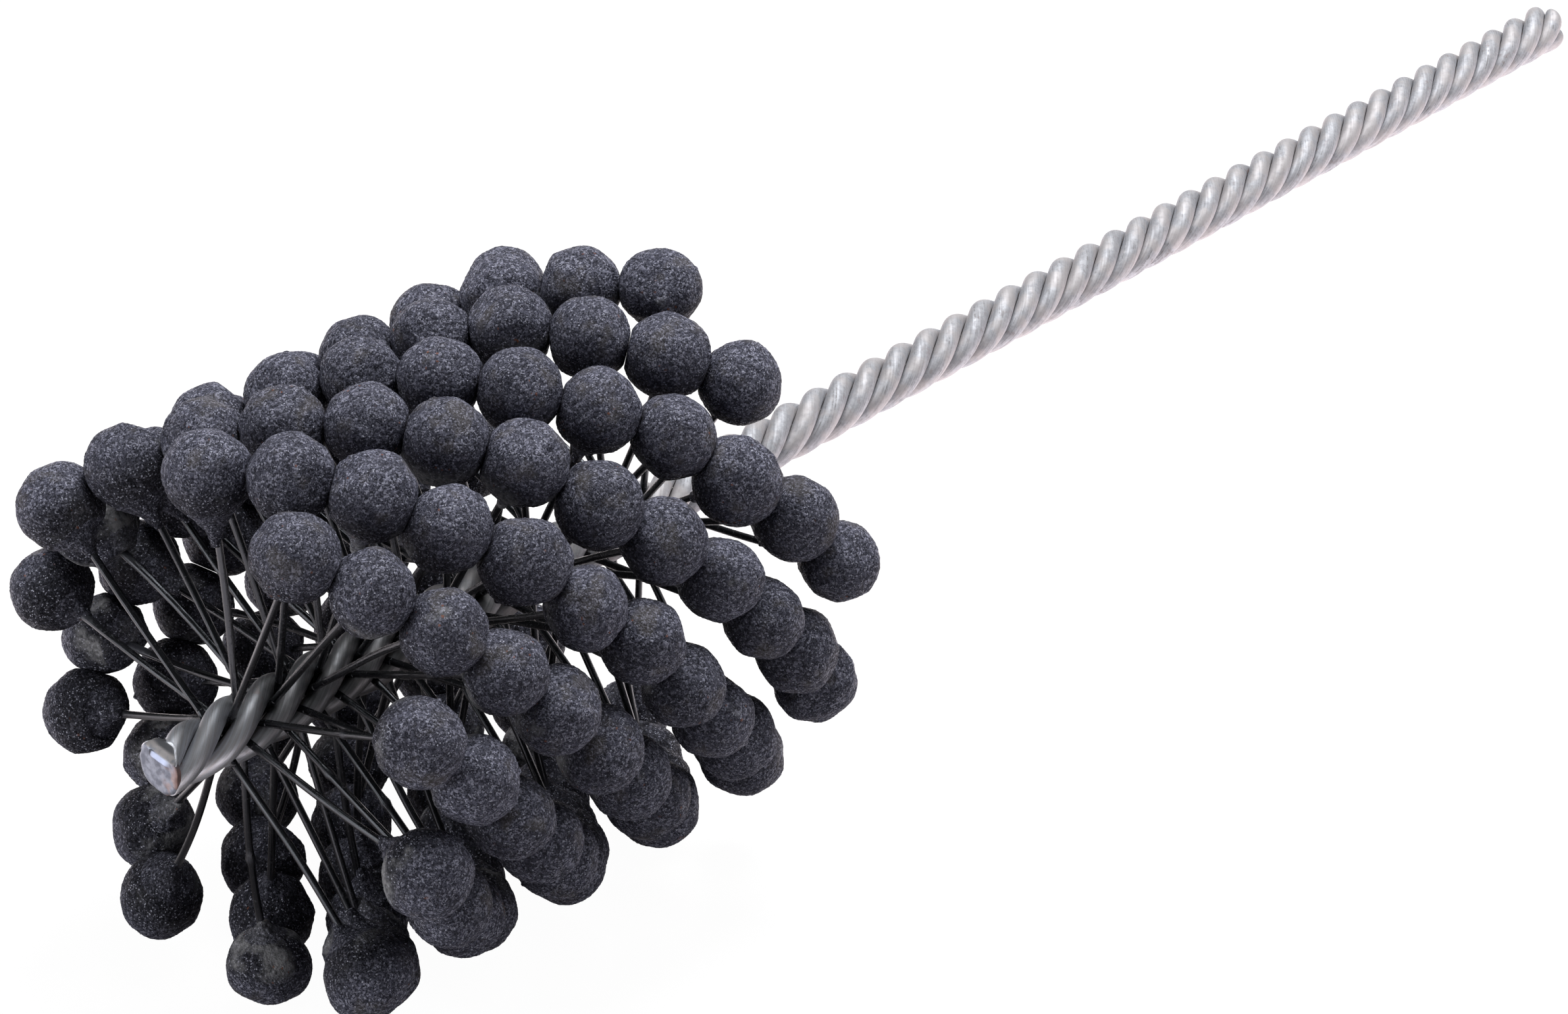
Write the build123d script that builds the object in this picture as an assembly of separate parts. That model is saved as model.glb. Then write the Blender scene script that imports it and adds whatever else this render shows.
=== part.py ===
from build123d import *
import math
import os

import numpy as np

# A flexible ball hone. Abrasive balls sit on both ends of nylon filaments, and a stem of four
# twisted wires nips the filaments across their middles.
# The stem lies along X. X is 0 at the end that a drill's chuck grips, and the tip is at -X.
# Angles around the stem run from +Y towards +Z. The left-hand twist turns them back along +X.

# Driving dimensions, in millimetres and degrees
stem_length = 203.2
wire_diameter = 2.05
wire_clearance = 0.02
stem_lay = 16.3
shank_edge_break = 0.4
bare_tip = 7.0
tip_collar = 1.2
head_lay = 20.13
head_diameter = 56.4
filament_count = 63
filament_pitch = 0.858
filament_diameter = 0.68
nip_thickness = 0.36
nip_clearance = 0.04
root_clearance = 0.42
ball_diameter = 7.8
ball_size_spread = 0.15
ball_overlap = 0.62
ball_clearance = 0.14
neck_length = 2.2
neck_wall = 0.2
neck_spread = 40.0
bond_clearance = 0.02
row_count = 18
start_angle = 221.2
scatter_along = 0.4
scatter_around = 0.4
scatter_out = 0.3
scatter_seed = 11

# The head's first and last filaments, and the stretch where they hold the wires apart
last_filament = bare_tip + (filament_count - 1) * filament_pitch
head_start = bare_tip - tip_collar
head_end = last_filament + tip_collar
ball_circle = (head_diameter - ball_diameter) / 2
row_angle = 360 / row_count


def balance(excess, low, high):
    """Finds the value between low and high at which a growing excess passes through nought."""
    for _ in range(40):
        middle = (low + high) / 2
        if excess(middle) > 0:
            high = middle
        else:
            low = middle
    return low


def strand_distance(radius, lay):
    """Gives the least distance between the centre lines of two strands side by side."""
    along = np.linspace(0, lay / 4, 800)
    turn = math.pi / 2 - 2 * math.pi * along / lay
    return np.sqrt(along ** 2 + 2 * radius ** 2 * (1 - np.cos(turn))).min()


def strand_radius(lay, gap):
    """Gives the strands' radius at which neighbouring wires lie a gap apart."""
    spacing = wire_diameter + gap
    return balance(lambda radius: strand_distance(radius, lay) - spacing, 0, 2 * spacing)


def place(along, radius, angle):
    """Gives the point at a distance along from the tip, and a radius and angle off the axis."""
    turn = math.radians(angle)
    return Vector(along - stem_length, radius * math.cos(turn), radius * math.sin(turn))


def twist(along):
    """Gives the angle that the wires have turned to at a distance along from the tip."""
    in_head = min(max(along, head_start), head_end)
    turned = (in_head - bare_tip) / head_lay + (along - in_head) / stem_lay
    return start_angle - 360 * turned


def save(name, solids):
    """Writes one sub-part."""
    export_step(Compound(children=list(solids)), f"parts/{name}.step")


# Stem wires: four galvanised wires twisted together, with a slower twist and a small gap where
# the filaments hold them apart, sheared flat at the tip and broken at the shank end's edge
closed_radius = strand_radius(stem_lay, wire_clearance)
open_radius = strand_radius(head_lay, nip_thickness + nip_clearance)
stem_radius = open_radius + wire_diameter / 2
root_radius = stem_radius + root_clearance


def wire_stretch(start, end, lay, radius):
    """Makes the first wire between two distances from the tip, with the tip at X 0."""
    spare = wire_diameter
    path = Helix(lay, end - start + 2 * spare, radius, center=(0, 0, -spare), lefthand=True)
    section = Plane(origin=path @ 0, z_dir=path % 0) * Circle(wire_diameter / 2)
    wire = sweep(section, path=path, is_frenet=True)
    spare_turn = 360 * spare / lay
    trim = Cylinder(
        stem_radius + wire_diameter, end - start, align=(Align.CENTER, Align.CENTER, Align.MIN)
    )
    stretch = (Rot(0, 0, spare_turn + twist(start)) * wire) & trim
    return Plane.YZ.offset(start).location * stretch


def stem_wire():
    """Makes the first wire, with the tip at X 0."""
    wire = wire_stretch(0, head_start, stem_lay, closed_radius)
    wire += wire_stretch(head_start, head_end, head_lay, open_radius)
    wire += wire_stretch(head_end, stem_length, stem_lay, closed_radius)
    rim = closed_radius + wire_diameter / 2
    blank = Cylinder(rim + wire_diameter, stem_length, rotation=(0, 90, 0))
    blank = Pos(stem_length / 2, 0, 0) * blank
    shank_rim = blank.edges().filter_by(GeomType.CIRCLE).sort_by(Axis.X)[-1]
    return wire & chamfer(shank_rim, wire_diameter + shank_edge_break)


# Filaments: nylon bristles that run right through the stem in two crossing layers by turns,
# thinned where the wires nip them
nip_half_length = math.sqrt(0.5) * open_radius + 0.8 * wire_diameter / 2


def filament_middle():
    """Makes the still middle of a filament along Z, thin between the wires and round outside."""
    thin = nip_thickness / 2
    full = filament_diameter / 2
    outline = Polyline(
        (0, stem_radius),
        (full, stem_radius),
        (full, nip_half_length),
        (thin, nip_half_length),
        (thin, -nip_half_length),
        (full, -nip_half_length),
        (full, -stem_radius),
        (0, -stem_radius),
        close=True,
    )
    return revolve(Plane.XZ * make_face(outline), Axis.Z)


def filament_end(root, ball, seat):
    """Makes the free part of a filament, from its root to its seat inside the ball."""
    line = Plane(origin=root, z_dir=ball - root)
    length = (ball - root).length + seat - bond_clearance
    rod = Cylinder(filament_diameter / 2, length, align=(Align.CENTER, Align.CENTER, Align.MIN))
    return line.location * rod


# Balls: grit in resin, dipped on to the filament's end, with a neck that tapers down it and a
# flat on each side where it set against a neighbour
def round_ball(root, ball, diameter, seat):
    """Makes one ball round its filament's end, before it has any flats."""
    radius = diameter / 2
    bore = filament_diameter / 2 + bond_clearance
    foot = -radius - neck_length
    spread = math.radians(neck_spread)
    shoulder = (radius * math.sin(spread), -radius * math.cos(spread))
    inside = Polyline(
        (0, radius),
        (0, seat),
        (bore, seat),
        (bore, foot),
        (bore + neck_wall, foot),
        shoulder,
    )
    crown = ThreePointArc(shoulder, (radius, 0), (0, radius))
    line = Plane(origin=ball, z_dir=ball - root)
    return line.location * revolve(Plane.XZ * make_face(inside + crown), Axis.Z)


def flattened(solid, ball, diameter, others, other_diameters):
    """Cuts a ball's flats, half a clearance short of the middle between it and each neighbour."""
    for other, other_diameter in zip(others, other_diameters):
        away = other - ball
        reach = (diameter + other_diameter) / 2 + ball_clearance
        if 0 < away.length < reach:
            depth = (away.length + (diameter - other_diameter) / 2 - ball_clearance) / 2
            face = Plane(origin=ball + away.normalized() * depth, z_dir=away)
            solid = split(solid, bisect_by=face, keep=Keep.BOTTOM)
    return solid


# Where the balls stand: straight out from the wires' twist, scattered a little, and then eased
# apart until none is pressed into another by more than the flats between them take up
def filament_ends():
    """Gives the distance from the tip and the angle of each filament's two ends."""
    ends = []
    for count in range(filament_count):
        along = bare_tip + count * filament_pitch
        angle = twist(along) - 90 * count
        ends.append((along, angle))
        ends.append((along, angle + 180))
    return ends


def scattered_balls(ends):
    """Gives the balls' centres and diameters before they are eased apart."""
    throws = np.random.default_rng(scatter_seed).uniform(-1, 1, (len(ends), 4))
    centres = []
    for (along, angle), throw in zip(ends, throws):
        radius = ball_circle - scatter_out * (1 + throw[2]) / 2
        angle += math.degrees(scatter_around * throw[1] / ball_circle)
        centres.append(tuple(place(along + scatter_along * throw[0], radius, angle)))
    return np.array(centres), ball_diameter - ball_size_spread * (1 + throws[:, 3])


def eased_apart(centres, diameters):
    """Pushes crowded balls apart over the head's round, and leaves how far out they stand."""
    reach = (diameters[:, None] + diameters[None, :]) / 2 - ball_overlap
    alone = np.eye(len(centres)) * head_diameter
    outward = centres * [0, 1, 1]
    outward /= np.linalg.norm(outward, axis=1)[:, None]
    for _ in range(400):
        apart = centres[:, None] - centres[None, :]
        distance = np.linalg.norm(apart, axis=2) + alone
        crowded = np.clip(reach - distance, 0, None)
        if crowded.max() < bond_clearance / 10:
            break
        push = (apart * (crowded / distance)[..., None]).sum(axis=1) / 2
        push -= outward * (push * outward).sum(axis=1)[:, None]
        centres = centres + push
    return centres


ends = filament_ends()
scattered, diameters = scattered_balls(ends)
centres = eased_apart(scattered, diameters)


def row_of(angle):
    """Gives the number of the lengthwise row that a filament's end at an angle belongs to."""
    return int(angle % 360 / row_angle)


def root_hinge(row):
    """Gives the point about which a row's filaments bend, in the middle of their roots."""
    return place(stem_length, root_radius, (row + 0.5) * row_angle)


def build():
    """Builds and writes every sub-part."""
    os.makedirs("parts", exist_ok=True)
    wire = Pos(-stem_length, 0, 0) * stem_wire()
    for number in range(4):
        save(f"stem_wire_{number + 1}", [Rot(90 * number + 45, 0, 0) * wire])

    middle = filament_middle()
    middles = []
    for along, angle in ends[::2]:
        across = place(0, 1, angle) - place(0, 0, 0)
        line = Plane(origin=place(along, 0, 0), z_dir=across)
        middles.append(line.location * middle)
    save("filament_middles", middles)

    balls = [Vector(*centre) for centre in centres]
    filament_rows = [[] for _ in range(row_count)]
    ball_rows = [[] for _ in range(row_count)]
    for (along, angle), ball, diameter in zip(ends, balls, diameters):
        root = place(along, root_radius, angle)
        seat = diameter / 4
        solid = round_ball(root, ball, diameter, seat)
        filament_rows[row_of(angle)].append(filament_end(root, ball, seat))
        ball_rows[row_of(angle)].append(flattened(solid, ball, diameter, balls, diameters))
    for row in range(row_count):
        save(f"filament_row_{row + 1:02d}", filament_rows[row])
        save(f"ball_row_{row + 1:02d}", ball_rows[row])


build()
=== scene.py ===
import math

import bpy
import numpy as np
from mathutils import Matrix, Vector


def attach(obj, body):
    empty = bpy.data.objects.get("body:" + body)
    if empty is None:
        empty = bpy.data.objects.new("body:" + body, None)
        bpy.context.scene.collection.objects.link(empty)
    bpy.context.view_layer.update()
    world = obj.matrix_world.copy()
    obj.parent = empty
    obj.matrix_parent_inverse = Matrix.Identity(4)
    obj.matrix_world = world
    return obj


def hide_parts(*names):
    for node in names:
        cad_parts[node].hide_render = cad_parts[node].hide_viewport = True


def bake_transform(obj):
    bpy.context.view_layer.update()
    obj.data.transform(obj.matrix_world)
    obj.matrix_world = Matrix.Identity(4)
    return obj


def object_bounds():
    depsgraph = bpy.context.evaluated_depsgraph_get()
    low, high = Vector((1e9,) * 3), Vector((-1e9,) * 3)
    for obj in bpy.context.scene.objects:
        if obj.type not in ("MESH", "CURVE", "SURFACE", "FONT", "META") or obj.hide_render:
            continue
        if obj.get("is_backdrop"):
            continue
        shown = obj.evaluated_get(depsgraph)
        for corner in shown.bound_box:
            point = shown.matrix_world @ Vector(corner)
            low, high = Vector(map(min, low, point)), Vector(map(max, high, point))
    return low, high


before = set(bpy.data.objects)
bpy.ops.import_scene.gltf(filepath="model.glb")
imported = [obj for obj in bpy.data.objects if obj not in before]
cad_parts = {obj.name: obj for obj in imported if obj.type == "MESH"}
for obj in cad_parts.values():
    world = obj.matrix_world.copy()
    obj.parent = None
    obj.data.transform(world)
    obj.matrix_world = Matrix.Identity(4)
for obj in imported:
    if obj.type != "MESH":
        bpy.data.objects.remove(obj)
cad_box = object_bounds()

# Camera
# The photograph is taken with a long lens from beyond the tip, above the tool and to one side,
# so that the shank points up and away to the right.
mm = 0.001
camera_azimuth, camera_elevation = -47.21, 30.50
camera_aim = Vector((-158.0, -31.0, 18.9)) * mm
camera_distance = 424.1 * mm
camera_lens = 114.24
film_width = 36
nearest_view, furthest_view = 10 * mm, 20


def bearing(azimuth, elevation):
    """Gives the direction out from the tool to an azimuth and elevation in degrees."""
    turn, rise = math.radians(azimuth), math.radians(elevation)
    return Vector((
        math.sin(turn) * math.cos(rise), -math.cos(turn) * math.cos(rise), math.sin(rise)
    ))


camera = bpy.data.objects.new("camera", bpy.data.cameras.new("camera"))
bpy.context.scene.collection.objects.link(camera)
bpy.context.scene.camera = camera
to_camera = bearing(camera_azimuth, camera_elevation)
camera.location = camera_aim + to_camera * camera_distance
camera.rotation_euler = (-to_camera).to_track_quat("-Z", "Y").to_euler()
camera.data.lens = camera_lens
camera.data.sensor_fit = "HORIZONTAL"
camera.data.sensor_width = film_width
camera.data.clip_start = nearest_view
camera.data.clip_end = furthest_view


# Studio
# The tool lies on white paper, under a large soft box above and behind it. A low box at the left
# and a card at the right light its sides. The head shades the paper that the wires mirror.
class Socket:
    """One output of a node in a material's tree. Python's operators on it add Math nodes."""

    def __init__(self, tree, output=None):
        self.tree = tree
        self.output = output

    def node(self, kind, settings=None, inputs=None, output=0):
        """Adds a node, makes its settings, gives its inputs values or links, returns an output."""
        node = self.tree.nodes.new("ShaderNode" + kind)
        for name, value in (settings or {}).items():
            setattr(node, name, value)
        for name, value in (inputs or {}).items():
            if isinstance(value, Socket):
                self.tree.links.new(value.output, node.inputs[name])
            elif hasattr(value, "__len__") and len(node.inputs[name].default_value) == 4:
                node.inputs[name].default_value = (*value, 1)
            else:
                node.inputs[name].default_value = value
        return Socket(self.tree, node.outputs[output])

    def math(self, operation, *values):
        """Adds a Math node on this output and other values."""
        inputs = dict(enumerate((self, *values)))
        return self.node("Math", {"operation": operation}, inputs)

    def __add__(self, other):
        return self.math("ADD", other)

    def __sub__(self, other):
        return self.math("SUBTRACT", other)

    def __mul__(self, other):
        return self.math("MULTIPLY", other)

    def __gt__(self, other):
        return self.math("GREATER_THAN", other)

    def __lt__(self, other):
        return self.math("LESS_THAN", other)

    def __rsub__(self, other):
        negated = self.math("MULTIPLY", -1)
        return negated.math("ADD", other)

    __radd__ = __add__
    __rmul__ = __mul__

    def ramp(self, low, high, to_low=0, to_high=1):
        """Maps a stretch of this output's values smoothly on to another stretch."""
        settings = {"interpolation_type": "SMOOTHSTEP"}
        inputs = {"Value": self, 1: low, 2: high, 3: to_low, 4: to_high}
        return self.node("MapRange", settings, inputs)


def new_material(name):
    """Makes an empty material and gives its tree, for Socket's methods."""
    material = bpy.data.materials.new(name)
    material.use_nodes = True
    material.node_tree.nodes.clear()
    return material, Socket(material.node_tree)


def mixed(factor, first, second):
    """Mixes two colours, each a link or three numbers."""
    tree = next(value for value in (factor, first, second) if isinstance(value, Socket))
    inputs = {0: factor, 6: first, 7: second}
    return tree.node("Mix", {"data_type": "RGBA"}, inputs, output=2)


def sight(tree):
    """Gives a mark for what the camera sees, and one for that and what shiny surfaces show."""
    straight = tree.node("LightPath")
    shown = straight + tree.node("LightPath", output="Is Glossy Ray")
    shown = (shown + tree.node("LightPath", output="Is Transmission Ray")).math("MINIMUM", 1)
    return straight, shown


def finish(surface, kind="Material"):
    """Joins a shader to the output of its material or world."""
    output = surface.tree.nodes.new("ShaderNodeOutput" + kind)
    surface.tree.links.new(surface.output, output.inputs[0])


paper_size = 4.0
paper_height = cad_box[0][2]
paper_colour = (0.51, 0.50, 0.505)
paper_glow, paper_white = 0.86, 1.13
paper_mirrored = (2.75, 2.50, 2.54)
shade_middle = (-0.190, -0.012, paper_height)
shade_start, shade_end, shade_level = 0.030, 0.085, 0.10
black = (0, 0, 0)

paper, tree = new_material("white_paper")
straight, shown = sight(tree)
matt = tree.node("BsdfDiffuse", inputs={"Color": paper_colour})
place = tree.node("TexCoord", output="Object")
inputs = {0: place, 1: shade_middle}
from_head = tree.node("VectorMath", {"operation": "DISTANCE"}, inputs, output="Value")
unshaded = from_head.ramp(shade_start, shade_end, shade_level, 1)
mirrored = mixed(unshaded, black, paper_mirrored)
glow = mixed(straight, mirrored, (paper_white,) * 3)
glow = tree.node("Emission", inputs={"Color": glow, "Strength": 1})
finish(tree.node("MixShader", inputs={0: shown * paper_glow, 1: matt, 2: glow}))

floor_mesh = bpy.data.meshes.new("floor")
reach = paper_size / 2
corners = [(-reach, -reach), (reach, -reach), (reach, reach), (-reach, reach)]
floor_mesh.from_pydata([(x, y, paper_height) for x, y in corners], [], [(0, 1, 2, 3)])
floor_mesh.materials.append(paper)
floor = bpy.data.objects.new("floor", floor_mesh)
bpy.context.scene.collection.objects.link(floor)
floor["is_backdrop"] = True

lamp_aim = Vector((-150, 0, 0)) * mm


def soft_box(name, azimuth, elevation, distance, size, level):
    """Hangs a square lamp that lights a white surface facing it to a level, where 1 is white."""
    lamp = bpy.data.lights.new(name, "AREA")
    lamp.shape = "SQUARE"
    lamp.size = size
    lamp.energy = level * (math.pi * distance) ** 2
    box = bpy.data.objects.new(name, lamp)
    away = bearing(azimuth, elevation)
    box.location = lamp_aim + away * distance
    box.rotation_euler = (-away).to_track_quat("-Z", "Y").to_euler()
    bpy.context.scene.collection.objects.link(box)


soft_box("overhead_box", azimuth=108, elevation=67, distance=0.7, size=0.40, level=1.24)
soft_box("left_box", azimuth=-105, elevation=13, distance=0.7, size=0.45, level=0.53)
soft_box("side_card", azimuth=45, elevation=35, distance=0.8, size=0.50, level=0.19)

white = (1, 1, 1)
room_level = 0.035
horizon_level, ceiling_level = 0.38, 0.18
ceiling_start = 0.35

world = bpy.data.worlds.new("room")
bpy.context.scene.world = world
world.use_nodes = True
world.node_tree.nodes.clear()
air = Socket(world.node_tree)
straight, shown = sight(air)
upward = air.node("SeparateXYZ", inputs={0: air.node("TexCoord")}, output="Z")
wall = straight.math("MAXIMUM", upward.ramp(0, ceiling_start, horizon_level, ceiling_level))
room = air.node("Background", inputs={"Color": white, "Strength": room_level})
backdrop = air.node("Background", inputs={"Color": white, "Strength": wall})
finish(air.node("MixShader", inputs={0: shown, 1: room, 2: backdrop}), "World")
bpy.context.scene.view_settings.view_transform = "Standard"

# Stem
# Four galvanised steel wires twisted together left-hand. The filaments hold them apart in the
# head, where the twist is slower, and the twist closes up again in the shank and at the tip.
stem_length = -cad_box[0][0] / mm
wire_radius = 1.025
wire_dent, dent_spacing = 0.02, 7
shank_lay, head_lay = 16.3, 20.13
head_start, head_end = 5.8, 61.4
head_ease = 1.6
closed_radius, open_radius = 1.623, 1.901
twist_at_first, first_filament = 221.2, 7.0
twist_spare, twist_steps = 5, 8000
ring_step, wire_sides = 0.35, 40
streak_shift = 300
tip_recess, cut_rounds = 0.34, 8
tip_stretch, shank_stretch = 4, 3
tip_rounding, shank_rounding = 0.6, 0.6
tip_narrowing, shank_narrowing = 0.08, 0.06
cap_share = 0.93
ridge_turn = math.radians(9.5)
ridge_across = 1.65
lower_slope, upper_slope = 0.03, 1.15
rng = np.random.default_rng(5)


def head_share(along):
    """Gives 1 in the head and 0 in the shank and tip, eased over the change."""
    enter = 1 / (1 + np.exp(-(along - head_start) / head_ease * 4))
    leave = 1 / (1 + np.exp(-(along - head_end) / head_ease * 4))
    return enter - leave


def twist(along):
    """Gives the wires' turn in radians at a distance along from the tip."""
    fine = np.linspace(-twist_spare, stem_length + twist_spare, twist_steps)
    share = head_share(fine)
    rate = share / head_lay + (1 - share) / shank_lay
    turned = np.concatenate(([0], np.cumsum((rate[1:] + rate[:-1]) / 2 * np.diff(fine))))
    turned -= np.interp(first_filament, fine, turned)
    return math.radians(twist_at_first) - 2 * math.pi * np.interp(along, fine, turned)


def wire_line(along, number):
    """Gives the centre line of one wire, in millimetres in the frame."""
    radius = closed_radius + (open_radius - closed_radius) * head_share(along)
    angle = twist(along) + math.pi / 4 + number * math.pi / 2
    return np.stack(
        (along - stem_length, radius * np.cos(angle), radius * np.sin(angle)), axis=-1
    )


def unit(vectors):
    """Scales vectors to length 1."""
    return vectors / np.linalg.norm(vectors, axis=-1, keepdims=True)


def cut_places(points):
    """Gives points' distances across and along the sheared tip's ridge."""
    across = points[..., 2] * math.cos(ridge_turn) - points[..., 1] * math.sin(ridge_turn)
    lengthwise = points[..., 1] * math.cos(ridge_turn) + points[..., 2] * math.sin(ridge_turn)
    return across, lengthwise


def end_height(points):
    """Gives how far the sheared tip stands back from its foremost point at points across it."""
    across, _ = cut_places(points)
    lower = np.clip(ridge_across - across, 0, None) * lower_slope
    upper = np.clip(across - ridge_across, 0, None) * upper_slope
    return lower + upper


def mesh_of(name, points, faces, marks):
    """Makes a smooth mesh object from points in millimetres, with named values on its points."""
    mesh = bpy.data.meshes.new(name)
    mesh.vertices.add(len(points))
    mesh.vertices.foreach_set("co", (np.asarray(points) * mm).ravel())
    sizes = np.array([len(face) for face in faces])
    corners = np.concatenate(faces)
    mesh.loops.add(len(corners))
    mesh.loops.foreach_set("vertex_index", corners.astype(np.int32))
    mesh.polygons.add(len(sizes))
    starts = np.concatenate(([0], np.cumsum(sizes)[:-1])).astype(np.int32)
    mesh.polygons.foreach_set("loop_start", starts)
    mesh.polygons.foreach_set("use_smooth", np.ones(len(sizes), bool))
    mesh.update(calc_edges=True)
    mesh.validate()
    for mark, values in marks.items():
        values = np.asarray(values, np.float32)
        kind, field = ("FLOAT", "value") if values.ndim == 1 else ("FLOAT_VECTOR", "vector")
        mesh.attributes.new(mark, kind, "POINT").data.foreach_set(field, values.ravel())
    piece = bpy.data.objects.new(name, mesh)
    bpy.context.scene.collection.objects.link(piece)
    return piece


def tube_faces(rings, sides, first=0):
    """Gives the faces of a tube of rings, with closed ends."""
    here = np.arange(sides)
    after = (here + 1) % sides
    rows = np.arange(rings - 1)[:, None] * sides + first
    faces = np.stack((rows + here, rows + after, rows + sides + after, rows + sides + here), -1)
    faces = list(faces.reshape(-1, 4))
    return faces + [first + here[::-1], first + (rings - 1) * sides + here]


def turns(sides):
    """Gives evenly spaced turns round a tube."""
    return np.linspace(0, 2 * math.pi, sides, endpoint=False)


def wire_surface(along, turn, number, radius):
    """Gives points on a wire at distances along the stem and turns round the wire."""
    centre = wire_line(along, number)
    forward = unit(wire_line(along + 0.01, number) - centre)
    outward = centre * (0, 1, 1)
    outward = unit(outward - forward * (outward * forward).sum(-1, keepdims=True))
    sideways = np.cross(forward, outward)
    ring = np.cos(turn)[..., None] * outward + np.sin(turn)[..., None] * sideways
    return centre + radius[..., None] * ring


def cut_flat(end, turn, number, radius, height):
    """Gives how far each line along a wire's surface runs past an end to reach its cut."""
    run = np.zeros_like(turn)
    for _ in range(cut_rounds):
        points = wire_surface(end + run, turn, number, radius)
        run += (end - stem_length) + height(points) - points[..., 0]
    return run


along = np.arange(0, stem_length + ring_step / 2, ring_step)
along[-1] = stem_length
turn = turns(wire_sides)
knots = np.arange(0, stem_length + dent_spacing, dent_spacing)
wires = []
for number in range(4):
    dents = np.interp(along, knots, rng.uniform(-1, 1, len(knots)))
    radius = (wire_radius - wire_dent * (1 + dents) / 2)[:, None] * np.ones(wire_sides)
    tip_run = cut_flat(0, turn, number, radius[0], lambda points: end_height(points) + tip_recess)
    shank_run = cut_flat(stem_length, turn, number, radius[-1], lambda points: 0)
    near_tip = np.clip(1 - along / tip_stretch, 0, 1)[:, None] ** 2
    near_shank = np.clip(1 - (stem_length - along) / shank_stretch, 0, 1)[:, None] ** 2
    reached = along[:, None] + near_tip * tip_run + near_shank * shank_run
    rings = wire_surface(reached, np.broadcast_to(turn, reached.shape), number, radius)
    at_shank = 1 - np.clip(-rings[..., 0] / shank_rounding, 0, 1)
    at_tip = 1 - np.clip((rings[..., 0] + stem_length) / tip_rounding, 0, 1)
    narrowed = 1 - shank_narrowing * at_shank ** 2 - tip_narrowing * at_tip ** 2
    rings[..., 1:] *= narrowed[..., None]
    caps = [ring.mean(0) + (ring - ring.mean(0)) * cap_share for ring in (rings[0], rings[-1])]
    rings = np.concatenate((caps[:1], rings, caps[1:]))
    length = np.repeat(np.concatenate((along[:1], along, along[-1:])), wire_sides)
    turned = np.tile(turn, len(rings))
    drawn = (length + streak_shift * number, np.cos(turned), np.sin(turned))
    marks = {
        "along": length,
        "inward": np.abs((turned + math.pi) % (2 * math.pi) - math.pi) / math.pi,
        "drawn": np.stack(drawn, axis=1),
    }
    faces = tube_faces(len(rings), wire_sides)
    piece = mesh_of(f"galvanised_wire_{number + 1}", rings.reshape(-1, 3), faces, marks)
    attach(piece, "stem")
    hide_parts(f"stem_wire_{number + 1}")
    wires.append(piece)

zinc_light, zinc_dark = (0.50, 0.51, 0.545), (0.41, 0.415, 0.44)
zinc_warm, zinc_clean = (0.52, 0.475, 0.46), (0.64, 0.67, 0.73)
# The stained colour stands for resin stain and painted shade inside the head.
zinc_stained_and_shaded = (0.13, 0.133, 0.14)
# The crevice colour stands for dirt and painted shade together.
crevice_dirt_and_shade = (0.11, 0.10, 0.10)
scratched = (0.20, 0.19, 0.19)
rust = (0.27, 0.12, 0.075)
streak_stretch, scratch_stretch = (0.16, 5.0, 5.0), (0.22, 12.0, 12.0)
cloud_scale, spot_scale, speck_scale = 420.0, 1900.0, 4200.0
zinc_bump, zinc_depth = 0.4, 0.00005


def mark(tree, name, output="Fac"):
    """Reads one of a mesh's named values."""
    return tree.node("Attribute", {"attribute_name": name}, output=output)


def scaled(vector, factors):
    """Multiplies a vector's three parts by three numbers."""
    return vector.node("VectorMath", {"operation": "MULTIPLY"}, {0: vector, 1: factors})


def noise(vector, scale, detail=4.0):
    """Adds a noise texture."""
    return vector.node("TexNoise", inputs={"Vector": vector, "Scale": scale, "Detail": detail})


zinc, tree = new_material("galvanised_wire")
place = tree.node("TexCoord", output="Object")
drawn = mark(tree, "drawn", "Vector")
along = mark(tree, "along")
streaks = noise(scaled(drawn, streak_stretch), 1.0, 5.0)
scratches = noise(scaled(drawn, scratch_stretch), 1.0, 2.0)
clouds = noise(place, cloud_scale)
spots = noise(place, spot_scale, 3.0)
specks = noise(place, speck_scale, 2.0)
dull = streaks * 0.4 + clouds * 0.3 + specks * 0.3
colour = mixed(dull.ramp(0.42, 0.60), zinc_light, zinc_dark)
scratch = scratches.ramp(0.58, 0.66) * spots.ramp(0.40, 0.55) * clouds.ramp(0.44, 0.58)
colour = mixed(scratch * 0.7, colour, scratched)
colour = mixed(clouds.ramp(0.58, 0.40) * 0.45, colour, zinc_warm)
near_tip = along.ramp(26.0, 9.0)
clean = near_tip * (streaks * 0.6 + scratches * 0.4).ramp(0.40, 0.58, 0.95, 0.25)
colour = mixed(clean, colour, zinc_clean)
# Inside the head the wires are painted dark: painted shade from the balls and filaments round
# them, with some resin stain.
in_head = along.ramp(50.0, 24.0)
stain_and_shade = in_head * along.ramp(6.0, 13.0) * (streaks + clouds).ramp(0.7, 1.15, 0.65, 1)
colour = mixed(stain_and_shade * 0.85, colour, zinc_stained_and_shaded)
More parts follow.
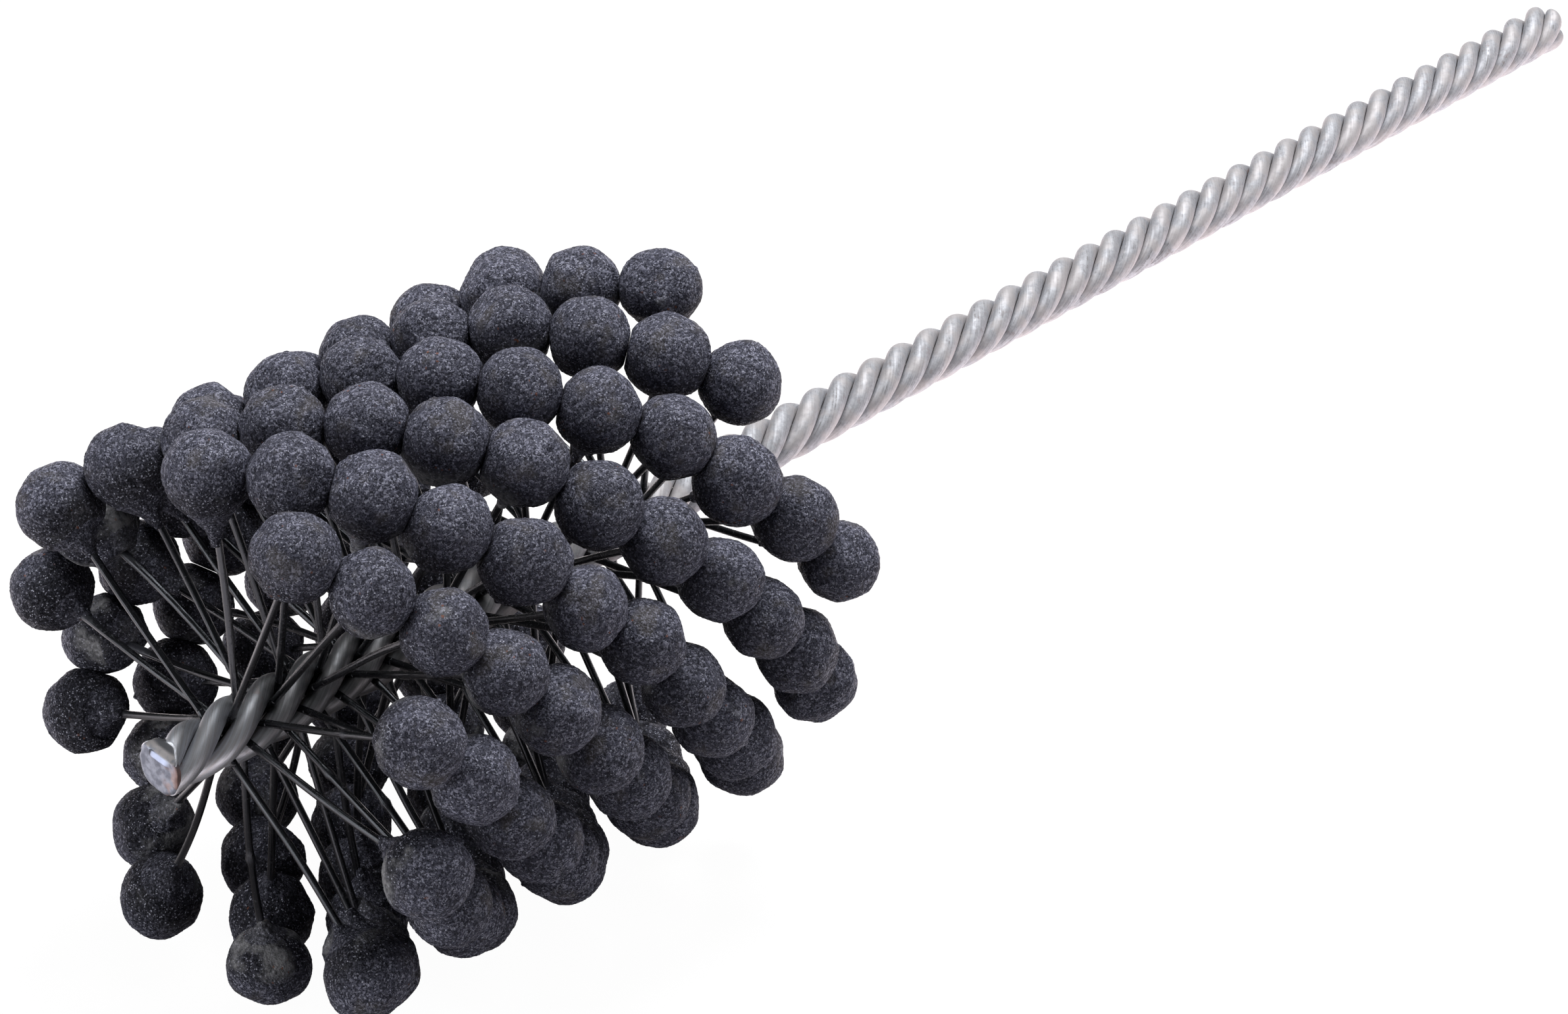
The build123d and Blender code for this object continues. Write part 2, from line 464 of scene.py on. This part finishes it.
# The side of each wire that faces the others is darkened: dirt there, and painted shade in the
# crevices between the wires.
crevice = mark(tree, "inward").ramp(0.46, 0.66)
ragged = crevice + (spots - 0.5) * 0.3 + (streaks - 0.5) * 0.4
dirt_and_shade = ragged.ramp(0.52, 1.02)
colour = mixed(dirt_and_shade * 0.75, colour, crevice_dirt_and_shade)
rusty = clouds.ramp(0.58, 0.68) * spots.ramp(0.50, 0.60) * crevice.ramp(0.0, 0.7, 0.15, 0.8)
colour = mixed(rusty, colour, rust)
metal = 1 - dirt_and_shade.math("MAXIMUM", rusty) * 0.7 - near_tip * 0.3
rough = streaks.ramp(0.3, 0.7, 0.66, 0.75) + spots.ramp(0.4, 0.7, 0.0, 0.08) + dirt_and_shade * 0.1
rough = rough - in_head * 0.24
height = streaks * 0.3 + spots * 0.5 + specks * 0.4 + clouds * 0.5
bump = tree.node("Bump", inputs={"Strength": zinc_bump, "Distance": zinc_depth, "Height": height})
finish(tree.node("BsdfPrincipled", inputs={
    "Base Color": colour, "Roughness": rough, "Metallic": metal, "Normal": bump,
}))
for piece in wires:
    piece.data.materials.append(zinc)

# Sheared tip
# The cutter that parted the stem smeared the four wires' ends into one face. Its two blades met
# along a ridge, which leaves a bright step between a broad flat and a steeper bevel.
smear_radius = 2.52
smear_rings, smear_sides = 60, 96
lobe_depth = 0.045
edge_wave, edge_ripple = 0.015, 0.010
step_middle, step_half_width, step_half_length = 1.36, 0.30, 1.15
step_shift, step_tilt, step_rise = -0.1, 0.45, 0.10
face_recess = 0.08
rim_start, rim_drop = 0.86, 0.14
scar_depth = 0.012
skirt_share = 0.985
skirt_drops = (0.15, 0.45)

turn = turns(smear_sides)
share = np.linspace(0, 1, smear_rings)
lobes = twist(0.0) + math.pi / 4
edge = smear_radius * (1 - lobe_depth * (0.5 - 0.5 * np.cos(4 * (turn - lobes))))
edge *= 1 + edge_wave * np.sin(7 * turn + 1) + edge_ripple * np.sin(13 * turn)
reach = share[:, None] * edge
smear = np.stack((np.zeros_like(reach), reach * np.cos(turn), reach * np.sin(turn)), axis=-1)
across, lengthwise = cut_places(smear)
step = np.exp(-np.abs((across - step_middle) / step_half_width) ** 6)
step *= np.exp(-np.abs((lengthwise - step_shift) / step_half_length) ** 8)
rim = np.clip((share[:, None] - rim_start) / (1 - rim_start), 0, 1) * np.ones_like(reach)
scars = np.sin(6 * across + 2 * lengthwise) * np.cos(5 * lengthwise)
smear[..., 0] = end_height(smear) + step_rise * (1 - step) + face_recess
smear[..., 0] += rim_drop * rim ** 2
smear[..., 0] += scar_depth * scars
smear[..., 0] += step_tilt * step * (across - step_middle) - stem_length
drops = np.array([[[drop, 0, 0]] for drop in skirt_drops])
skirt = smear[-1:] * (1, skirt_share, skirt_share) + drops
smear = np.concatenate((smear, skirt))
marks = {"step": step, "rim": rim, "across": across, "lengthwise": lengthwise}
for name, values in marks.items():
    marks[name] = np.concatenate((values, values[-1:], values[-1:])).ravel()
faces = tube_faces(len(smear), smear_sides)[:-1]
tip_face = mesh_of("sheared_tip_face", smear.reshape(-1, 3), faces, marks)
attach(tip_face, "stem")

steel_light, steel_dark = (0.27, 0.295, 0.35), (0.155, 0.17, 0.21)
smear_warm, smear_rust = (0.36, 0.27, 0.25), (0.25, 0.15, 0.125)
bevel_light, bevel_dark = (0.42, 0.405, 0.41), (0.14, 0.145, 0.16)
step_bright, step_outline = (0.36, 0.41, 0.54), (0.04, 0.045, 0.06)
steel_grain_scale, blot_scale = 1500.0, 620.0
steel_metal = 0.75
steel_bump, steel_depth = 0.5, 0.00006

sheared, tree = new_material("sheared_steel")
place = tree.node("TexCoord", output="Object")
grain = noise(place, steel_grain_scale, 5.0)
blots = noise(place, blot_scale, 3.0)
across = mark(tree, "across")
lengthwise = mark(tree, "lengthwise")
step = mark(tree, "step")
colour = mixed(grain.ramp(0.35, 0.65), steel_light, steel_dark)
low = lengthwise.ramp(-0.2, -1.5) * across.ramp(1.5, 0.6)
colour = mixed(low * blots.ramp(0.42, 0.55) * 0.7, colour, smear_warm)
rusty = mark(tree, "rim") * lengthwise.ramp(-0.4, -1.8)
colour = mixed(rusty * blots.ramp(0.40, 0.6) * 0.7, colour, smear_rust)
colour = mixed(across.ramp(1.62, 1.72) * grain.ramp(0.30, 0.55), colour, bevel_light)
colour = mixed(across.ramp(2.0, 2.2), colour, bevel_dark)
colour = mixed(step, colour, step_bright)
outline = step.ramp(0.05, 0.25) * step.ramp(0.9, 0.6) * lengthwise.ramp(0.2, 0.9)
colour = mixed(outline, colour, step_outline)
rough = 0.5 - step * 0.05 + grain.ramp(0.4, 0.7, 0.0, 0.12)
height = grain + blots * 0.8
inputs = {"Strength": steel_bump, "Distance": steel_depth, "Height": height}
bump = tree.node("Bump", inputs=inputs)
finish(tree.node("BsdfPrincipled", inputs={
    "Base Color": colour, "Roughness": rough, "Metallic": steel_metal, "Normal": bump,
}))
tip_face.data.materials.append(sheared)

# Filaments
# Black nylon bristles that run through the stem between the wires. Each is a little bowed, runs
# from the stem outwards to its ball, and has some resin dried on it near the ball.
filament_radius = 0.34
ridge_height = 0.035
root_reach, ball_bite = 2.4, 0.8
bow_size, bow_shape = 0.26, 1.5
least_resin, most_resin, resin_fade = 0.3, 2.6, 0.8
resin_thickness = 0.05
bead_sizes, bead_length = [0.0, 0.0, 0.06, 0.14], 0.018
bead_places, bead_resin = (0.15, 0.85), 5
spin_shift = 100
row_angle = 20
filament_rings, filament_sides = 44, 18
row_names = [name[len("ball_"):] for name in sorted(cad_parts) if name.startswith("ball_")]


def solids_of(node):
    """Splits a CAD node's mesh into its separate solids, each as points in millimetres."""
    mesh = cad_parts[node].data
    points = np.empty(len(mesh.vertices) * 3)
    mesh.vertices.foreach_get("co", points)
    points = points.reshape(-1, 3) / mm
    edges = np.empty(len(mesh.edges) * 2, np.int64)
    mesh.edges.foreach_get("vertices", edges)
    welded, same = np.unique(np.round(points, 4), axis=0, return_inverse=True)
    edges = same.ravel()[edges].reshape(-1, 2)
    label = np.arange(len(welded))
    while True:
        least = np.minimum(label[edges[:, 0]], label[edges[:, 1]])
        before = label.copy()
        np.minimum.at(label, edges[:, 0], least)
        np.minimum.at(label, edges[:, 1], least)
        label = label[label]
        if (label == before).all():
            break
    return [welded[label == one] for one in np.unique(label)]


def sphere_of(points):
    """Fits a sphere to a ball's points, and leaves its neck and flats out step by step."""
    kept = np.ones(len(points), bool)
    for _ in range(12):
        terms = np.concatenate((2 * points[kept], np.ones((kept.sum(), 1))), axis=1)
        answer = np.linalg.lstsq(terms, (points[kept] ** 2).sum(1), rcond=None)[0]
        centre = answer[:3]
        radius = math.sqrt(max(answer[3] + centre @ centre, 0))
        miss = np.abs(np.linalg.norm(points - centre, axis=1) - radius)
        kept = miss <= max(np.median(miss), 0.004)
    return centre, radius


def rod_of(points):
    """Gives the two ends of a straight rod's centre line, the one nearer the stem first."""
    middle = points.mean(0)
    axis = np.linalg.svd(points - middle, full_matrices=False)[2][0]
    reach = (points - middle) @ axis
    ends = [points[reach < reach.min() + 0.05].mean(0), points[reach > reach.max() - 0.05].mean(0)]
    return sorted(ends, key=lambda end: np.hypot(end[1], end[2]))


def tube_rings(line, normal, radii):
    """Gives the rings of a slightly ridged tube round a line."""
    forward = unit(np.gradient(line, axis=0))
    normals = unit(normal - forward * (forward @ normal)[:, None])
    sideways = np.cross(forward, normals)
    turn = turns(filament_sides)[:, None]
    ring = np.cos(turn) * normals[:, None] + np.sin(turn) * sideways[:, None]
    ridged = 1 + ridge_height * np.cos(3 * turn)
    return line[:, None] + ring * radii[:, None, None] * ridged


balls = {}
for row in row_names:
    spheres = [sphere_of(points) for points in solids_of(f"ball_{row}")]
    rods = [rod_of(points) for points in solids_of(f"filament_{row}")]
    balls[row] = []
    for root, seat in rods:
        centre, radius = min(spheres, key=lambda ball: np.linalg.norm(ball[0] - seat))
        balls[row].append((centre, radius, root, unit(seat - root)))

filament_pieces = []
for row in row_names:
    all_points, all_faces, all_drawn, all_resin = [], [], [], []
    for centre, radius, root, line in balls[row]:
        inner = root - line * (np.hypot(root[1], root[2]) - root_reach)
        outer = centre + line * ball_bite
        share = np.linspace(0, 1, filament_rings)
        bow = rng.normal(0, bow_size, 3)
        bow -= line * (bow @ line)
        path_line = inner + share[:, None] * (outer - inner)
        path_line += (np.sin(math.pi * share) ** bow_shape)[:, None] * bow
        spin = rng.uniform(0, 2 * math.pi)
        normal = unit(np.cross(line, (math.cos(spin), math.sin(spin), 0.31)))
        to_ball = (1 - share) * np.linalg.norm(outer - inner) - radius
        resin_end = rng.uniform(least_resin, most_resin)
        resin = np.exp(-np.clip(to_ball - resin_end, 0, None) / resin_fade)
        bead = rng.uniform(*bead_places)
        size = rng.choice(bead_sizes)
        bead_lift = size * np.exp(-((share - bead) / bead_length) ** 2)
        radii = filament_radius + resin_thickness * resin + bead_lift
        rings = tube_rings(path_line, normal, radii)
        all_faces += tube_faces(*rings.shape[:2], sum(len(part) for part in all_points))
        all_points.append(rings.reshape(-1, 3))
        length = np.repeat(share * np.linalg.norm(outer - inner), filament_sides)
        turned = np.tile(turns(filament_sides), filament_rings)
        drawn = (length + spin * spin_shift, np.cos(turned), np.sin(turned))
        all_drawn.append(np.stack(drawn, axis=1))
        all_resin.append(np.repeat(resin + bead_lift * bead_resin, filament_sides))
    marks = {
        "resin": np.clip(np.concatenate(all_resin), 0, 1), "drawn": np.concatenate(all_drawn),
    }
    piece = mesh_of(f"filaments_{row}", np.concatenate(all_points), all_faces, marks)
    number = int(row[-2:])
    turn = math.radians((number - 0.5) * row_angle)
    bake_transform(piece)
    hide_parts(f"filament_{row}")
    filament_pieces.append(piece)

# Filament middles
# The middles of the same bristles. The wires nip each one flat between them as they are twisted,
# and the nip is what holds it.
middle_rings = 31
middle_reach = 2.9
nip_share = 0.72
nip_widening, nip_thinning = 0.05, 0.12

lengthwise = np.array((1.0, 0, 0))
all_points, all_faces, all_drawn = [], [], []
for middle in solids_of("filament_middles"):
    centre = middle.mean(0)
    line = unit(rod_of(middle)[1] - centre)
    share = np.linspace(-1, 1, middle_rings)
    path_line = centre + share[:, None] * line * middle_reach
    nip = np.exp(-(share / nip_share) ** 6)[:, None, None]
    thin = np.cross(line, lengthwise)
    turn = turns(filament_sides)[:, None]
    wide_part = np.cos(turn) * lengthwise * (filament_radius + nip_widening * nip)
    thin_part = np.sin(turn) * thin * (filament_radius - nip_thinning * nip)
    rings = path_line[:, None] + wide_part + thin_part
    all_faces += tube_faces(*rings.shape[:2], sum(len(part) for part in all_points))
    all_points.append(rings.reshape(-1, 3))
    turned = np.tile(turns(filament_sides), middle_rings)
    length = np.repeat(share * middle_reach + centre[0], filament_sides)
    all_drawn.append(np.stack((length, np.cos(turned), np.sin(turned)), axis=1))
marks = {
    "resin": np.zeros(sum(len(part) for part in all_points)), "drawn": np.concatenate(all_drawn),
}
nipped = mesh_of("nipped_filament_middles", np.concatenate(all_points), all_faces, marks)
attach(nipped, "stem")
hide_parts("filament_middles")
filament_pieces.append(nipped)

nylon_black, nylon_worn = (0.002, 0.002, 0.0024), (0.006, 0.006, 0.0075)
nylon_dust, dried_resin = (0.09, 0.09, 0.10), (0.022, 0.022, 0.028)
nylon_shine = (0.84, 0.90, 1.0)
nylon_stretch = (0.12, 3.2, 3.2)
dust_scale = 2600.0
nylon_bump, nylon_depth = 0.5, 0.00006

nylon, tree = new_material("black_nylon")
place = tree.node("TexCoord", output="Object")
drawn = noise(scaled(mark(tree, "drawn", "Vector"), nylon_stretch), 1.0)
dust = noise(place, dust_scale, 3.0)
resin = mark(tree, "resin")
colour = mixed(drawn.ramp(0.4, 0.7), nylon_black, nylon_worn)
colour = mixed(dust.ramp(0.62, 0.74) * 0.30, colour, nylon_dust)
colour = mixed(resin * 0.7, colour, dried_resin)
rough = drawn.ramp(0.35, 0.7, 0.12, 0.24) + dust.ramp(0.55, 0.7, 0, 0.2) + resin * 0.3
height = drawn * 1.2 + dust * (0.15 + resin)
inputs = {"Strength": nylon_bump, "Distance": nylon_depth, "Height": height}
bump = tree.node("Bump", inputs=inputs)
finish(tree.node("BsdfPrincipled", inputs={
    "Base Color": colour, "Roughness": rough, "Normal": bump, "Specular IOR Level": 0.5,
    "Specular Tint": nylon_shine,
}))
for piece in filament_pieces:
    piece.data.materials.append(nylon)

# Balls
# Silicon carbide grit in dark resin, dipped on to the filaments' ends. Each ball is a little out
# of round, tapers into a crusted neck of resin, and has flats where it set against its neighbours.
ball_detail = 6
lump_height, lump_waves = 0.14, (10, 1.2, 4.0)
small_lump_height, small_lump_waves = 0.07, (24, 6, 13)
crust_height, crust_waves = 0.05, (30, 3, 9)
grit_height, grit_waves, neck_grit = 0.024, (70, 9, 26), 0.6
stretches = (-0.08, 0.04)
facets_each, facet_depths, facet_softness = 3.0, (0.88, 0.98), 0.08
nubs_each, nub_heights, nub_widths = 2.6, (0.08, 0.34), (0.0008, 0.0035)
pits_each, pit_depths, pit_widths = 2.2, (0.05, 0.16), (0.0015, 0.008)
flat_gap, flat_softness, flat_reach = 0.012, 0.03, 0.3
neck_shoulders, neck_lengths = (134, 150), (0.9, 3.2)
neck_wall, neck_bite, neck_taper = 0.10, 1.5, 1.9


def round_directions():
    """Gives an even spread of directions and the triangles between them."""
    bpy.ops.mesh.primitive_ico_sphere_add(subdivisions=ball_detail, radius=1)
    sphere = bpy.context.active_object
    points = np.empty(len(sphere.data.vertices) * 3)
    sphere.data.vertices.foreach_get("co", points)
    faces = np.empty(len(sphere.data.polygons) * 3, np.int64)
    sphere.data.polygons.foreach_get("vertices", faces)
    bpy.data.objects.remove(sphere)
    return unit(points.reshape(-1, 3)), faces.reshape(-1, 3)


def ripple(directions, waves, coarsest, finest):
    """Gives a smooth random height from plane waves in random directions."""
    headings = unit(rng.normal(size=(waves, 3)))
    pace = rng.uniform(coarsest, finest, waves)
    phase = rng.uniform(0, 2 * math.pi, waves)
    return np.sin(directions @ (headings * pace[:, None]).T + phase).sum(1) / math.sqrt(waves)


def round_spot(outward, widths):
    """Gives a bump of height 1 at a random place on a ball."""
    return np.exp((outward @ unit(rng.normal(size=3)) - 1) / rng.uniform(*widths))


def pressed(points, away, depth, softness):
    """Flattens a ball at a depth from its centre, with a soft rim round the flat."""
    over = points @ away / depth
    level = 1 - softness
    eased = np.where(over > level, level + softness * np.tanh((over - level) / softness), over)
    return points * np.where(over > level, eased / np.maximum(over, 0.1), 1)[:, None]


def dipped_ball(radius, line):
    """Gives a ball's points with its neck along a line, their outward directions and the neck."""
    aside = unit(np.cross(line, (0.3, 0.5, 0.81)))
    above = np.cross(line, aside)
    polar = np.arccos(np.clip(directions[:, 2], -1, 1))
    circling = np.arctan2(directions[:, 1], directions[:, 0])
    shoulder = math.radians(rng.uniform(*neck_shoulders))
    neck_length = rng.uniform(*neck_lengths)
    foot = filament_radius + neck_wall
    round_part = radius * shoulder
    neck_part = neck_length + neck_bite
    travelled = polar / math.pi * (round_part + neck_part)
    angle = np.minimum(travelled / radius, shoulder)
    neck = np.clip((travelled - round_part) / neck_part, 0, 1)
    top_out, top_height = radius * math.sin(shoulder), radius * math.cos(shoulder)
    taper = foot + (top_out - foot) * (1 - neck) ** neck_taper
    out = np.where(neck > 0, taper, radius * np.sin(angle))
    drop = top_height + (-radius - neck_length - top_height) * neck
    height = np.where(neck > 0, drop, radius * np.cos(angle))
    out = np.where(polar > math.pi - 1e-4, 0, out)
    ring = np.cos(circling)[:, None] * aside + np.sin(circling)[:, None] * above
    points = out[:, None] * ring + height[:, None] * line
    outward = unit(points - line * np.where(neck > 0, height * 0.98, 0)[:, None])
    return points, outward, neck


directions, triangles = round_directions()
everyone = [(centre, radius) for row in row_names for centre, radius, _, _ in balls[row]]
all_centres = np.array([centre for centre, _ in everyone])
all_radii = np.array([radius for _, radius in everyone])
box_low, box_high = (np.array(corner) / mm for corner in cad_box)
grit_pieces = []
for row in row_names:
    all_points, all_faces = [], []
    marks = {"under": [], "tone": [], "dust": []}
    for centre, radius, _, line in balls[row]:
        local, outward, neck = dipped_ball(radius, line)
        calm = 1 - neck
        lumps = lump_height * ripple(outward, *lump_waves)
        lumps += small_lump_height * ripple(outward, *small_lump_waves)
        crust = crust_height * ripple(local, *crust_waves)
        local = local + outward * (lumps * calm + crust * np.sqrt(neck))[:, None]
        longest = unit(rng.normal(size=3))
        local = local + (local @ longest)[:, None] * longest * rng.uniform(*stretches)
        for _ in range(rng.poisson(facets_each)):
            deep = radius * rng.uniform(*facet_depths)
            local = pressed(local, unit(rng.normal(size=3)), deep, facet_softness)
        spots = np.zeros(len(local))
        for _ in range(rng.poisson(nubs_each)):
            spots += rng.uniform(*nub_heights) * round_spot(outward, nub_widths)
        for _ in range(rng.poisson(pits_each)):
            spots -= rng.uniform(*pit_depths) * round_spot(outward, pit_widths)
        grit = grit_height * ripple(local, *grit_waves) * (neck_grit + (1 - neck_grit) * calm)
        local = local + outward * (spots * calm + grit)[:, None]
        towards = all_centres - centre
        distance = np.linalg.norm(towards, axis=1)
        beside = (distance > 0.1) & (distance < radius + all_radii + flat_reach)
        for other in np.flatnonzero(beside):
            depth = (distance[other] + radius - all_radii[other]) / 2 - flat_gap
            local = pressed(local, towards[other] / distance[other], depth, flat_softness)
        all_faces.append(triangles + sum(len(part) for part in all_points))
        all_points.append(np.clip(centre + local, box_low, box_high))
        marks["under"].append(0.5 - outward @ line / 2)
        marks["tone"].append(np.full(len(local), rng.uniform(0, 1)))
        marks["dust"].append(np.full(len(local), rng.uniform(0, 1) ** 2))
    marks = {name: np.concatenate(values) for name, values in marks.items()}
    points = np.concatenate(all_points)
    piece = mesh_of(f"grit_balls_{row}", points, np.concatenate(all_faces), marks)
    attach(piece, row)
    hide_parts(f"ball_{row}")
    grit_pieces.append(piece)

resin_dark, resin_light = (0.046, 0.0475, 0.064), (0.129, 0.132, 0.179)
grain_bright, grain_black = (0.37, 0.375, 0.475), (0.010, 0.0105, 0.016)
# The sparkle colour is a painted glint.
mottle_dark, painted_glint = (0.034, 0.034, 0.048), (0.42, 0.43, 0.52)
grit_dust, worn_warm = (0.34, 0.34, 0.355), (0.125, 0.112, 0.098)
grit_rust = (0.22, 0.08, 0.04)
grain_scale, fine_grain_scale = 5200.0, 9500.0
clump_scale, mottle_scale, worn_scale, patch_scale = 2200.0, 620.0, 330.0, 260.0
grit_shine = 0.10
grit_bump, grit_depth = 0.8, 0.00010


def cells(vector, scale):
    """Adds a cell texture, and gives its distance and three random values per cell."""
    inputs = {"Vector": vector, "Scale": scale}
    chance = vector.node("TexVoronoi", inputs=inputs, output="Color")
    parts = [vector.node("SeparateColor", inputs={0: chance}, output=part) for part in range(3)]
    return vector.node("TexVoronoi", inputs=inputs), *parts


carbide, tree = new_material("silicon_carbide_grit")
place = tree.node("TexCoord", output="Object")
edge, grain, tilt, speck = cells(place, grain_scale)
_, fine, spark, _ = cells(place, fine_grain_scale)
clumps = noise(place, clump_scale, 5.0)
mottle = noise(place, mottle_scale, 3.0)
patches = noise(place, patch_scale)
under = mark(tree, "under")
colour = mixed(clumps.ramp(0.30, 0.72), resin_dark, resin_light)
colour = mixed(grain.ramp(0.50, 1.0) * 0.72, colour, grain_bright)
colour = mixed((fine < 0.34) * 0.78, colour, grain_black)
colour = mixed(mottle.ramp(0.60, 0.38) * 0.25, colour, mottle_dark)
# Each ball's tone differs at random, and its neck side, which faces the stem, is painted darker as
# shade.
tone = (mark(tree, "tone") * 0.30 + 0.92) * under.ramp(0.32, 0.68, 1.0, 0.31)
colour = tree.node("VectorMath", {"operation": "SCALE"}, {0: colour, "Scale": tone})
# Scattered grains are painted bright as glints of the lamps on the grit, more of them on the neck
# side.
glint_spots = spark > under.ramp(0.4, 0.7, 0.97, 0.94)
colour = mixed(glint_spots * clumps.ramp(0.30, 0.55), colour, painted_glint)
dusty = patches.ramp(0.46, 0.62) * under.ramp(0.42, 0.72) * mark(tree, "dust").ramp(0.1, 0.6)
dusty = dusty.math("MAXIMUM", patches.ramp(0.66, 0.76) * 0.5) * clumps.ramp(0.35, 0.6, 0.4, 1.0)
colour = mixed(dusty * 0.8, colour, grit_dust)
worn = noise(place, worn_scale).ramp(0.54, 0.68) * under.ramp(0.55, 0.25)
colour = mixed(worn * 0.35, colour, worn_warm)
rusty = (speck > 0.992) * patches.ramp(0.56, 0.64)
colour = mixed(rusty * 0.7, colour, grit_rust)
rough = grain.ramp(0.1, 0.9, 0.8, 0.5) - glint_spots * 0.2
height = edge * -0.8 + clumps * 0.9 + tilt * 0.6 + fine * 0.3
bump = tree.node("Bump", inputs={"Strength": grit_bump, "Distance": grit_depth, "Height": height})
finish(tree.node("BsdfPrincipled", inputs={
    "Base Color": colour, "Roughness": rough, "Normal": bump, "Specular IOR Level": grit_shine,
}))
for piece in grit_pieces:
    piece.data.materials.append(carbide)

# The two boxes, the solid model's and the dressed one's, for comparison
size = {
    "cad_box": [list(corner) for corner in cad_box],
    "visual_box": [list(corner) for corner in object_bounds()],
}
